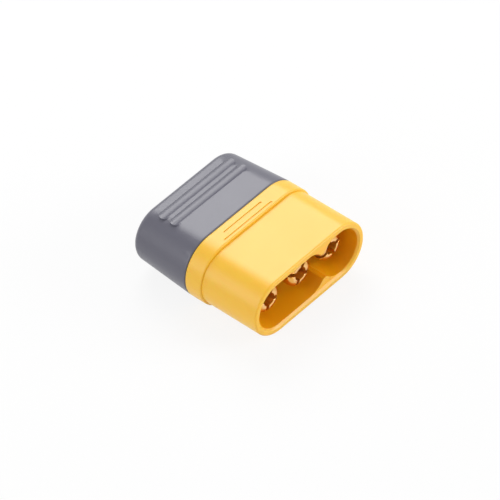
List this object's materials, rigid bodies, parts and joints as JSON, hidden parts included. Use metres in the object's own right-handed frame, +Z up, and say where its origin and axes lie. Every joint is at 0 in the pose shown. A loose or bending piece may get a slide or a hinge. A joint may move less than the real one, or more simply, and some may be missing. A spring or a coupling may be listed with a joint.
{
  "type": "three-pin motor connector",
  "caption": "Flat keyed power plug in a yellow moulded shell, with slotted bullet contacts in a row and a grey slip-on boot over its solder cups.",
  "frame": {"origin": "under the middle of the plug, on the plane that the collar rests on", "axes": "+X along the row of contacts towards the one in the round chamber, -Y out of the mouth, +Y out of the boot with the wires, +Z up"},
  "size_m": [0.0178, 0.0186, 0.0082],
  "materials": {
    "yellow_shell": "moulded, satin",
    "grey_boot": "moulded, fine matt",
    "gold_contact": "gold plated, bright"
  },
  "bodies": {
    "plug": {"housing": "yellow_shell", "contact_left": "gold_contact", "contact_centre": "gold_contact", "contact_right": "gold_contact"},
    "boot": {"boot": "grey_boot"}
  },
  "joints": [
    {"name": "boot_slide", "type": "slide", "parent": "plug", "child": "boot", "axis": [0, 1, 0], "range_m": [0, 0.012]}
  ]
}
